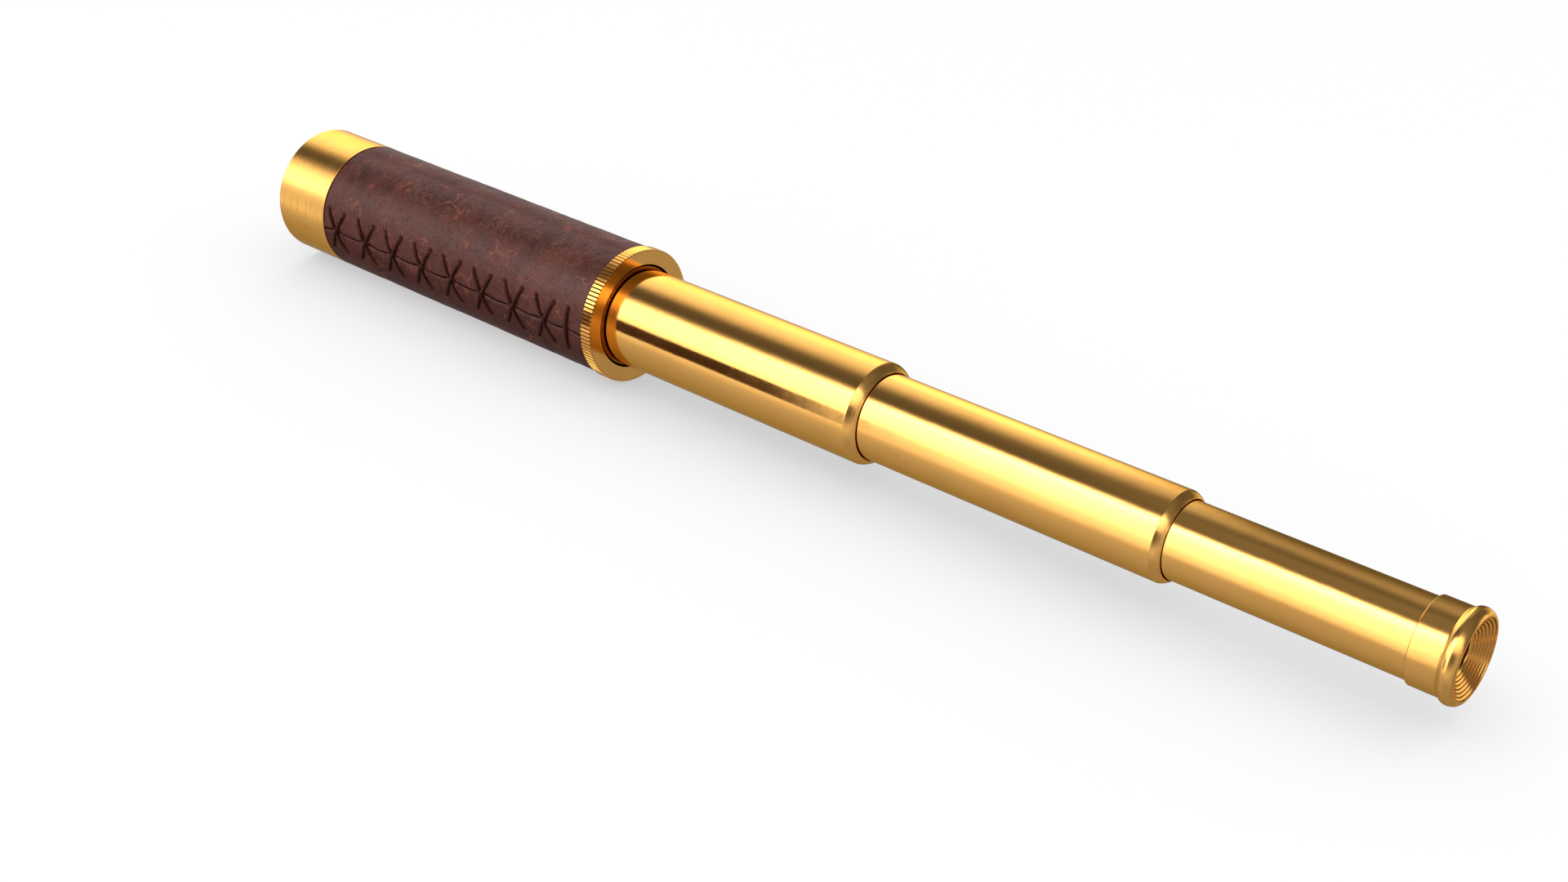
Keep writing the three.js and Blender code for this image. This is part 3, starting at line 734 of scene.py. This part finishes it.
def eyepiece():
    body = "draw_3"
    lathe("eyepiece_sleeve", body, "eyepiece_housing", [
        (11.13, 413.2, 0.02), (11.70, 413.22, 0.06), (11.9, 413.44, 0.10), (11.9, 421.25, 0.01),
        (10.5, 421.25), (10.5, 417.1), (11.13, 417.1)], POLISHED, 224, bevel=0.04, steps=4)
    lathe("eyepiece_lens_barrel", body, "eyepiece_lens_tube", [
        (9.6, 384), (10.38, 384), (10.38, 414.2), (9.2, 414.2), (9.2, 391.2), (9.6, 391.2)],
        BLACKENED, 128)
    lathe("field_lens_ring", body, "field_lens_retainer", ring(8.5, 9.5, 384.4, 386.0),
          BLACKENED, 96)
    lathe("field_lens_glass", body, "field_lens", lens(9.5, 386.2, 391.0, 1.6, 0.0), GLASS, 96)
    lathe("field_stop_ring", body, "field_stop", ring(6.0, 9.1, 402.0, 403.0), BLACKENED, 96)
    lathe("eye_lens_mount", body, "eye_lens_cell", [
        (6.2, 406.5), (9.1, 406.5), (9.1, 414.4), (10.38, 414.4), (10.38, 416.6), (6.2, 416.6),
        (6.2, 412.4), (5.5, 412.4), (5.5, 411.6), (6.2, 411.6)],
        BLACKENED, 128, lining=[PLAIN], lining_at=lambda p: p[1] > 416.5)
    lathe("eye_lens_glass", body, "eye_lens", lens(6.1, 412.5, 415.8, 0.0, 1.2), GLASS, 96)
    lathe("eye_lens_ring", body, "eye_lens_retainer", ring(5.3, 6.1, 415.2, 416.4), PLAIN, 96)


def eye_cup():
    # outer bead, from the joint with the sleeve to the rim: (radius, station)
    bead = [(11.55, 421.26), (11.89, 421.26), (11.90, 421.28), (11.94, 421.42), (12.03, 421.60),
            (12.17, 421.80), (12.34, 422.02), (12.51, 422.26), (12.66, 422.54), (12.78, 422.9),
            (12.84, 423.3), (12.84, 423.8), (12.77, 424.3), (12.64, 424.75), (12.45, 425.15),
            (12.2, 425.5), (11.92, 425.76), (11.68, 425.9), (11.48, 425.97), (11.3, 426.0),
            (10.98, 425.98), (10.92, 425.93)]
    section = [(r, s, 0) for r, s in bead]
    # dished mouth: coned treads step down to the eye hole, a line cut at the foot of each riser
    treads = 7
    r, s = 10.92, 425.9
    tread_width, tread_drop = (r - 5.42) / treads, (s - 422.25) / treads
    line_width = 0.21
    tread_rise = (tread_width - line_width) * math.tan(math.radians(29))
    lines = []
    for _ in range(treads):
        foot = s - tread_drop + tread_rise
        section += [(r - 0.03, foot - 0.02, 0.0), (r - 0.06, foot - 0.16, 0.0),
                    (r - 0.16, foot - 0.16, 0.0), (r - line_width, foot, 0.0),
                    (r - tread_width, s - tread_drop, 0.02)]
        lines.append((r - line_width, r - 0.028, foot))
        r -= tread_width
        s -= tread_drop
    section += [(5.22, 422.16, 0.04), (5.15, 422.0, 0.04), (5.15, 421.4, 0.05), (6.2, 420.6),
                (9.4, 420.6), (9.4, 417.0), (10.35, 417.0), (10.35, 421.26, 0.02)]

    def lining_at(p):
        if p[1] < 421.5 and p[0] < 9.6:
            return 1
        # painted shade, with some grime, in the line cut at the foot of each riser
        in_line = any(a < p[0] < b and 421.9 < p[1] < foot + 0.01 for a, b, foot in lines)
        return 2 if in_line else 0

    lathe("eye_cup_turned", "draw_3", "eye_cup", section, POLISHED, 256, bevel=0.04, sharp=22,
          lining=[PLAIN, GAP_SHADE_AND_GRIME], lining_at=lining_at)


objective_end()
knurled_collar()
guide_bush()
draw(1, bore=14.75, radius=15.35, start=122.3, shoulder_start=243.6, mouth=246.5, lip=13.13,
     stop_radius=18.6, recess=13.95, ferrule_start=236.0, sleeve_start=229.0,
     sleeve_bore=13.12, sleeve_radius=13.85)
draw(2, bore=12.45, radius=13.02, start=223.0, shoulder_start=342.7, mouth=345.2, lip=11.16,
     stop_radius=14.6, recess=11.75, ferrule_start=336.0, sleeve_start=328.2,
     sleeve_bore=11.16, sleeve_radius=11.67)
third_draw()
eyepiece()
eye_cup()

# ---------------------------------------------------------------- lacing layout
# Places on the leather are (station, arc): the arc in mm from the seam line, positive upwards.
CROSS_STARTS = [25.9, 40.6, 54.4, 68.4, 82.5, 96.7, 111.0, 124.9]
CROSS_LENGTH = 7.7
LAST_STITCH = 138.7
CROSS_CENTRES = [start + CROSS_LENGTH / 2 for start in CROSS_STARTS]
STITCH_CENTRES = CROSS_CENTRES + [LAST_STITCH]
SLEEVE_GIRTH = 2 * math.pi * SLEEVE_R


def arc_mm(degrees):
    return np.radians(degrees) * SLEEVE_R


def seam_angle(arc):
    """Angle about the optical axis of an arc from the seam line, which faces -Y."""
    return np.radians(np.degrees(arc / SLEEVE_R) - 90)


def lay_out_cords():
    """Cords as (first hole, last hole, lies over): eight crosses and a single end stitch."""
    jitter = np.random.default_rng(7).normal(0, 1, (9, 8)) * 0.13
    upper, lower = arc_mm(18.3), -arc_mm(20.7)
    result = []
    for start, j in zip(CROSS_STARTS, jitter):
        end = start + CROSS_LENGTH
        result.append(((start + j[0], upper + j[1]), (end + j[2], lower + j[3]), False))
        result.append(((end + j[4], upper + 0.15 + j[5]), (start - 0.1 + j[6], lower + j[7]),
                       True))
    result.append(((LAST_STITCH + 0.25, arc_mm(18.6)), (LAST_STITCH - 0.35, -arc_mm(21.3)),
                   False))
    return result


CORDS = lay_out_cords()
HOLES = [hole for cord in CORDS for hole in cord[:2]]


# ---------------------------------------------------------------- leather sleeve
def bell(distance, width):
    return np.exp(-(distance / width) ** 2)


def seam_wander(stations):
    """Arc of the seam, in mm: it sags a little between the crosses."""
    xs, ys = [SLEEVE_START], [-0.55]
    for i, centre in enumerate(STITCH_CENTRES):
        xs += [centre - 0.8, centre + 0.8]
        ys += [-0.02, 0.12]
        if i + 1 < len(STITCH_CENTRES):
            gap = STITCH_CENTRES[i + 1] - centre
            xs += [centre + 0.30 * gap, centre + 0.52 * gap, centre + 0.75 * gap]
            ys += [-0.35, -0.50, -0.30]
    xs += [LAST_STITCH + 2.5, SLEEVE_END]
    ys += [-0.1, -0.5]
    fine = np.linspace(SLEEVE_START, SLEEVE_END, 1200)
    kernel = np.hanning(19)
    kernel /= kernel.sum()
    padded = np.pad(np.interp(fine, xs, ys), 9, mode="edge")
    return np.interp(stations, fine, np.convolve(padded, kernel, mode="valid"))


def lattice_noise(x, y, seed, period):
    """Smooth noise from -1 to 1, periodic in y."""
    lattice = np.random.default_rng(seed).uniform(-1, 1, (400, period))
    xi, yi = np.floor(x).astype(int), np.floor(y).astype(int)
    fx, fy = x - xi, y - yi
    fx, fy = fx * fx * (3 - 2 * fx), fy * fy * (3 - 2 * fy)

    def at(a, b):
        return lattice[np.mod(a, 400), np.mod(b, period)]

    return ((at(xi, yi) * (1 - fx) + at(xi + 1, yi) * fx) * (1 - fy)
            + (at(xi, yi + 1) * (1 - fx) + at(xi + 1, yi + 1) * fx) * fy)


def cord_distance(s, w, cord):
    """Distance to a cord's straight line, and the share of its length at the nearest point."""
    (s0, w0), (s1, w1), _ = cord
    ds, dw = s1 - s0, w1 - w0
    t = np.clip(((s - s0) * ds + (w - w0) * dw) / (ds * ds + dw * dw), 0, 1)
    return np.hypot(s - s0 - t * ds, w - w0 - t * dw), t


def leather_height(s, w):
    """Height in mm above the nominal surface, at station s and arc w."""
    def lumps(along, count, seed):
        return lattice_noise(along, w / SLEEVE_GIRTH * count, seed, count)

    # broad and medium unevenness
    h = 0.050 * lumps(s / 9.0, 14, seed=3) + 0.045 * lumps(s / 3.2 + w * 0.08, 40, seed=4)
    # thin creases in patches, and fine grain
    crease = np.clip(1 - np.abs(lumps(s / 1.1 + 0.35 * w, 30, seed=5)) / 0.16, 0, 1)
    h += -0.030 * crease * (lumps(s / 7.0, 16, seed=6) > -0.2)
    h += 0.012 * lumps(s / 0.7, 160, seed=8)
    # the sewn edges puff up between the crosses and are drawn down at them
    from_seam = w - seam_wander(s)
    drawn = bell(np.min(np.abs(s[..., None] - np.array(STITCH_CENTRES)), -1), 2.4)
    h += (0.16 - 0.36 * drawn) * bell(from_seam, 2.8)
    h += -0.16 * np.exp(-(np.abs(from_seam) / 0.50) ** 1.6)
    # each hole is a pit in a shallow dish with a raised rim
    for hole_s, hole_w in HOLES:
        q = np.hypot(s - hole_s, w - hole_w)
        h += -0.50 * bell(q, 0.55) - 0.10 * bell(q, 1.3) + 0.06 * bell(q - 1.35, 0.5)
    # the leather is pulled down under a cord and swells beside it
    for cord in CORDS:
        q, t = cord_distance(s, w, cord)
        pull = 0.16 if cord[2] else 0.24
        h += -pull * bell(q, 0.60) + 0.045 * bell(q - 1.25, 0.45) * np.sin(math.pi * t)
    # seven soft folds radiate from each cross
    for start, centre in zip(CROSS_STARTS, CROSS_CENTRES):
        ds = s - centre
        h += 0.145 * np.cos(7.0 * np.arctan2(w, ds) + start) * bell(np.hypot(ds, w) - 2.6, 1.7)
    # rounded ends
    h += -0.24 * bell(np.minimum(s - SLEEVE_START, SLEEVE_END - s), 0.28)
    return h


def leather_sleeve():
    half_gap = 0.13                     # half the gap of the seam
    near = np.concatenate([[half_gap, 0.20, 0.30, 0.42, 0.58],
                           np.arange(0.78, 10.2, 0.20)])
    far = np.linspace(near[-1], SLEEVE_GIRTH / 2, 84)[1:-1]
    side = np.concatenate([near, far])
    # columns run from the seam up and round to the seam again, as signed arcs
    columns = np.concatenate([side, [SLEEVE_GIRTH / 2], -side[::-1]])
    stations = np.concatenate([
        [SLEEVE_START, SLEEVE_START + 0.08, SLEEVE_START + 0.2],
        np.linspace(SLEEVE_START + 0.4, SLEEVE_END - 0.4, 322),
        [SLEEVE_END - 0.2, SLEEVE_END - 0.08, SLEEVE_END]])
    s, w = np.meshgrid(stations, columns, indexing="ij")
    seam_arc = np.abs(w)
    # the wander of the seam dies out away from it
    arc = w + seam_wander(s) * bell(seam_arc, 6.0)
    height = leather_height(s, arc)
    # the cut edges of the seam are rounded over
    edge = seam_arc - half_gap
    height += -0.34 * np.exp(-(edge / 0.10)) - 0.10 * np.exp(-(edge / 0.35))
    angles = seam_angle(arc)
    points = place(s, SLEEVE_R - 0.03 + height, angles)
    ns, nc = points.shape[:2]
    vertices = list(points.reshape(-1, 3))
    faces = []
    for i in range(ns - 1):
        for j in range(nc - 1):
            a = i * nc + j
            faces.append((a, a + 1, a + nc + 1, a + nc))
    # inner skin: one row of long faces, and the four borders
    f0 = len(vertices)
    f1 = f0 + nc
    for station, row in ((SLEEVE_START, 0), (SLEEVE_END, -1)):
        vertices.extend(place(station, SLEEVE_BORE + 0.03, angles[row]))
    for j in range(nc - 1):
        q = (ns - 1) * nc + j
        faces.append((f0 + j + 1, f0 + j, f1 + j, f1 + j + 1))
        faces.append((j + 1, j, f0 + j, f0 + j + 1))
        faces.append((q, q + 1, f1 + j + 1, f1 + j))
    seam_column = [i * nc for i in range(ns)]
    faces.append(tuple(seam_column + [f1, f0]))
    faces.append(tuple([q + nc - 1 for q in reversed(seam_column)] + [f1 - 1, f1 + nc - 1]))
    sleeve = add_piece("leather_sleeve", "barrel", "leather_wrap", vertices, faces, [LEATHER],
                       sharp=70)

    # painted shade, with some dirt: darker beside the cords, in the holes and along the seam
    shade_and_dirt = 0.75 * bell(seam_arc - 0.1, 0.30)
    for hole_s, hole_w in HOLES:
        shade_and_dirt = np.maximum(shade_and_dirt, bell(np.hypot(s - hole_s, arc - hole_w), 0.62))
    for cord in CORDS:
        amount = 0.85 if cord[2] else 0.95
        shade_and_dirt = np.maximum(shade_and_dirt, amount * bell(cord_distance(s, arc, cord)[0], 0.70))
    values = np.zeros(len(sleeve.data.vertices), np.float32)
    values[:shade_and_dirt.size] = shade_and_dirt.ravel()
    sleeve.data.attributes.new("shade_and_dirt", "FLOAT", "POINT").data.foreach_set("value", values)


# ---------------------------------------------------------------- lacing cord
def cord_path(cord):
    """Stations, arcs and radii along the middle of a cord, in mm."""
    (s0, w0), (s1, w1), over = cord
    t = np.linspace(0, 1, 44)
    length = math.hypot(s1 - s0, w1 - w0)
    w = w0 + (w1 - w0) * t
    # a slight bow, as a cord pulled from one side lies
    bow = 0.22 * np.sin(math.pi * t) * (1 if over else -1)
    s = s0 + (s1 - s0) * t - bow * (w1 - w0) / length
    # it comes up on one side of its hole and lies over
    first, last = bell(t * length, 0.9), bell((1 - t) * length, 0.9)
    s = s - 0.30 * first + 0.22 * last + (0.30 if over else 0.0) * first
    rise = 1 - np.exp(-(np.minimum(t, 1 - t) * length / 0.50) ** 1.7)
    sunk, top = 19.95, 21.28 if over else 21.10
    # the upper cord humps over the lower one where they cross
    hump, hump_width = (0.52, 1.45) if over else (-0.06, 1.0)
    r = sunk + (top - sunk) * rise + hump * bell((t - 0.5) * length, hump_width)
    return s, w, r


def unit(vectors):
    return vectors / np.linalg.norm(vectors, axis=1)[:, None]


def lacing_cord():
    """Every stitch is three twisted strands, each an eight-sided tube."""
    strands, strand_radius, strand_offset, twist_pitch, sides = 3, 0.300, 0.240, 2.9, 8
    vertices, faces = [], []
    for cord_index, cord in enumerate(CORDS):
        s, w, r = cord_path(cord)
        count = len(s)
        angle = seam_angle(w)
        path = place(s, r, angle) * 1000
        tangent = unit(np.gradient(path, axis=0))
        outward = np.stack([np.zeros(count), np.sin(angle), np.cos(angle)], -1)
        side = unit(np.cross(tangent, outward))
        outward = np.cross(side, tangent)
        run = np.concatenate([[0], np.cumsum(np.linalg.norm(np.diff(path, axis=0), axis=1))])
        for k in range(strands):
            phase = 2 * math.pi * (run / twist_pitch + k / strands) + cord_index * 1.7
            centre = path + strand_offset * (np.cos(phase)[:, None] * side
                                             + np.sin(phase)[:, None] * outward)
            along = unit(np.gradient(centre, axis=0))
            u = unit(np.cross(along, outward))
            v = np.cross(u, along)
            base = len(vertices)
            for i in range(count):
                for q in range(sides):
                    a = 2 * math.pi * q / sides
                    offset = strand_radius * (math.cos(a) * u[i] + math.sin(a) * v[i])
                    vertices.append((centre[i] + offset) / 1000)
            for i in range(count - 1):
                near, far = base + i * sides, base + (i + 1) * sides
                for q in range(sides):
                    q2 = (q + 1) % sides
                    faces.append((near + q, near + q2, far + q2, far + q))
            faces.append(tuple(base + q for q in reversed(range(sides))))
            faces.append(tuple(base + (count - 1) * sides + q for q in range(sides)))
    add_piece("lacing_cord", "barrel", "lacing_thread", vertices, faces, [CORD], sharp=60)


leather_sleeve()
lacing_cord()


# ---------------------------------------------------------------- studio
def studio_floor():
    """A pale floor that takes soft shadows; brass does not mirror it, the world gives that tone."""
    cells, half = 24, 6.0
    row = cells + 1
    ticks = [-half + 2 * half * i / cells for i in range(row)]
    vertices = [(x, y, 0.0) for x in ticks for y in ticks]
    faces = [(i * row + j, (i + 1) * row + j, (i + 1) * row + j + 1, i * row + j + 1)
             for i in range(cells) for j in range(cells)]
    mesh = bpy.data.meshes.new("studio_floor")
    mesh.from_pydata(vertices, [], faces)
    floor = bpy.data.objects.new("studio_floor", mesh)
    bpy.context.scene.collection.objects.link(floor)
    material, g = new_material("studio_floor")
    tone = g.noise(g.object_coords(), scale=3, detail=2)
    g.surface({"Base Color": g.mix(tone, (0.445, 0.445, 0.445), (0.453, 0.453, 0.453)),
               "Emission Color": (1.0, 1.0, 1.0), "Emission Strength": 0.50,
               "Roughness": 0.9, "Specular IOR Level": 0.1})
    mesh.materials.append(material)
    floor.visible_glossy = False
    floor.visible_diffuse = False


# What the brass mirrors: soft boxes and flags laid along the telescope. Each table holds
# (degrees about X, level); 0 is +Y, 90 is up, 180 is -Y.
# The first three are for directions with a large, a middling and a small share along X.
FAR = [(-56, .36), (-40, .15), (-26, .40), (-8, .80), (12, 2.0), (30, 2.15), (50, 2.05),
       (62, 1.65), (71, 1.18), (79, .52), (86, .16), (96, .10), (104, .12), (110, .34),
       (117, .95), (125, 1.6), (132, 2.2), (145, 3.0), (153, 3.1), (159, 2.6), (166, 1.4),
       (173, 1.05), (186, 1.0), (198, 1.14), (205, 1.0), (211, .78), (219, .64), (232, .53),
       (272, .395), (290, .37)]
MIDDLE = [(-56, .34), (-40, .14), (-26, .40), (-8, .80), (4, 1.9), (14, 2.3), (28, 2.1),
          (40, 1.45), (52, 1.0), (63, .62), (71, .36), (79, .21), (87, .16), (104, .13),
          (110, .21), (114, .90), (118, 2.4), (122, 4.6), (126, 5.6), (131, 4.9), (137, 4.2),
          (144, 3.7), (152, 3.5), (168, 2.7), (176, 1.9), (195, 1.35), (203, .93), (211, .70),
          (232, .55), (272, .40)]
NEAR = [(-56, .33), (-40, .14), (-26, .27), (-8, .15), (12, .19), (30, .32), (42, .43),
        (53, .41), (62, .26), (71, .17), (79, .205), (88, .255), (105, .24), (110, .24),
        (114, .80), (118, 2.4), (122, 4.8), (126, 5.7), (131, 4.9), (137, 4.1), (144, 3.2),
        (152, 2.75), (166, 2.45), (180, 1.80), (188, 1.55), (195, 1.2), (203, .70), (211, .60),
        (232, .54), (272, .39)]
# Towards +X, with a growing share along X: what shoulders, beads and the eye cup pick up.
EYE_NEAR = [(-60, .40), (-38, .42), (-24, .85), (-12, 1.1), (-2, .60), (13, .17), (46, .13),
            (77, .22), (97, .26), (107, .6), (113, 2.2), (125, 2.3), (138, 1.9), (146, 1.2),
            (152, .30), (160, .20), (168, .20), (178, .35), (189, .68), (201, .85), (211, .64),
            (228, .44), (262, .41)]
EYE_MIDDLE = [(-82, .33), (-60, .38), (-38, .42), (-26, .55), (-18, 1.0), (-8, 1.25),
              (6, 1.15), (16, .5), (30, .20), (60, .15), (97, .25), (107, .5), (117, 2.0),
              (135, 1.8), (148, 1.0), (156, .45), (168, .33), (180, .48), (195, .75),
              (211, .62), (262, .38)]
EYE_FAR = [(-82, .33), (-62, .34), (-48, .50), (-36, .50), (-24, .28), (-12, .20), (14, .18),
           (30, .18), (60, .20), (97, .30), (109, .5), (125, 1.2), (146, .8), (156, .71),
           (168, .60), (180, .57), (211, .60), (262, .36)]
TOP_LEVEL = 6.0                         # ramps hold levels as shares of this


def studio_world():
    world = bpy.data.worlds.new("studio")
    bpy.context.scene.world = world
    world.use_nodes = True
    g = Nodes(world.node_tree)
    x, y, z = g.separate(g.add("TexCoord").outputs["Generated"])
    turn = g.math("ARCTAN2", z, y)
    turn = g.math("FRACT", g.total(g.math("DIVIDE", turn, 2 * math.pi), 1.0))
    along = g.math("ABSOLUTE", x)

    def band(table):
        stops = sorted((degrees % 360 / 360, level / TOP_LEVEL) for degrees, level in table)
        # close the circle
        (first, first_level), (last, last_level) = stops[0], stops[-1]
        at_zero = np.interp(0.0, [last - 1, first], [last_level, first_level])
        at_one = np.interp(1.0, [last, first + 1], [last_level, first_level])
        stops = [(0.0, at_zero)] + stops + [(1.0, at_one)]
        return g.grey_ramp(turn, [(position, float(level)) for position, level in stops])

    def scaled(*colour):
        return tuple(level / TOP_LEVEL for level in colour)

    mirrored = g.mix(g.rise(along, 0.36, 0.475), band(NEAR), band(MIDDLE))
    mirrored = g.mix(g.remap(along, 0.475, 0.73), mirrored, band(FAR))
    # a brown card on the -Y side, which the widest draw picks up as a thin dark streak
    card = g.times(g.times(g.rise(turn, 167.5 / 360, 172 / 360),
                           g.fall(turn, 193.8 / 360, 198.2 / 360)),
                   g.times(g.rise(along, 0.534, 0.562), g.fall(along, 0.675, 0.70)))
    mirrored = g.mix(g.times(card, 0.99), mirrored, scaled(0.034, 0.008, 0.004))
    mirrored = g.mix(g.rise(along, 0.88, 0.975), mirrored, scaled(0.8, 0.8, 0.8))
    eye_side = g.mix(g.rise(x, 0.38, 0.50), band(EYE_NEAR), band(EYE_MIDDLE))
    eye_side = g.mix(g.rise(x, 0.68, 0.80), eye_side, band(EYE_FAR))
    mirrored = g.mix(g.rise(x, -0.24, -0.08), mirrored, eye_side)

    # diffuse light by height: (share from straight down to straight up, level)
    sky = g.grey_ramp(g.remap(z, -1, 1),
                      [(0.0, 0.34), (0.44, 0.42), (0.56, 0.80), (0.75, 1.0), (1.0, 1.05)])

    def background(colour, strength):
        return g.add("Background", {"Color": colour, "Strength": strength}).outputs[0]

    rays = g.add("LightPath").outputs
    lighting = g.add("MixShader", {0: rays["Is Glossy Ray"], 1: background(sky, 0.93),
                                   2: background(mirrored, TOP_LEVEL)}).outputs[0]
    seen = g.add("MixShader", {0: rays["Is Camera Ray"], 1: lighting,
                               2: background((0.965, 0.965, 0.965), 1.0)}).outputs[0]
    g.add("OutputWorld", {"Surface": seen})


def area_light(name, location, size, power):
    """A square lamp aimed at the origin, unseen in mirror reflections."""
    lamp = bpy.data.lights.new(name, "AREA")
    lamp.shape = "RECTANGLE"
    lamp.size = lamp.size_y = size
    lamp.energy = power
    holder = bpy.data.objects.new(name, lamp)
    bpy.context.scene.collection.objects.link(holder)
    holder.location = location
    holder.rotation_euler = (-Vector(location)).to_track_quat("-Z", "Y").to_euler()
    holder.visible_glossy = False


def camera():
    lens_data = bpy.data.cameras.new("camera")
    holder = bpy.data.objects.new("camera", lens_data)
    bpy.context.scene.collection.objects.link(holder)
    right = Vector((0.75943782, 0.65057951, 0.00071033))
    up = Vector((-0.32880016, 0.38287409, 0.86330637))
    backward = Vector((0.56137747, -0.65586106, 0.50467971))
    pose = Matrix((right, up, backward)).transposed().to_4x4()
    pose.translation = (RIM_X + 0.57575226, -0.42876770, AXIS_Z + 0.30768195)
    holder.matrix_world = pose
    lens_data.sensor_fit = "HORIZONTAL"
    lens_data.sensor_width = 36.0
    lens_data.lens = 50.14395
    lens_data.clip_start = 0.01
    bpy.context.scene.camera = holder


studio_floor()
studio_world()
area_light("key", location=(-0.3, -0.9, 1.3), size=1.2, power=5.5)
area_light("fill", location=(0.9, 0.7, 1.2), size=1.4, power=3.0)
camera()
scene = bpy.context.scene
scene.view_settings.view_transform = "Standard"
scene.view_settings.look = "None"
scene.cycles.caustics_reflective = False
scene.cycles.caustics_refractive = False

bpy.context.view_layer.update()
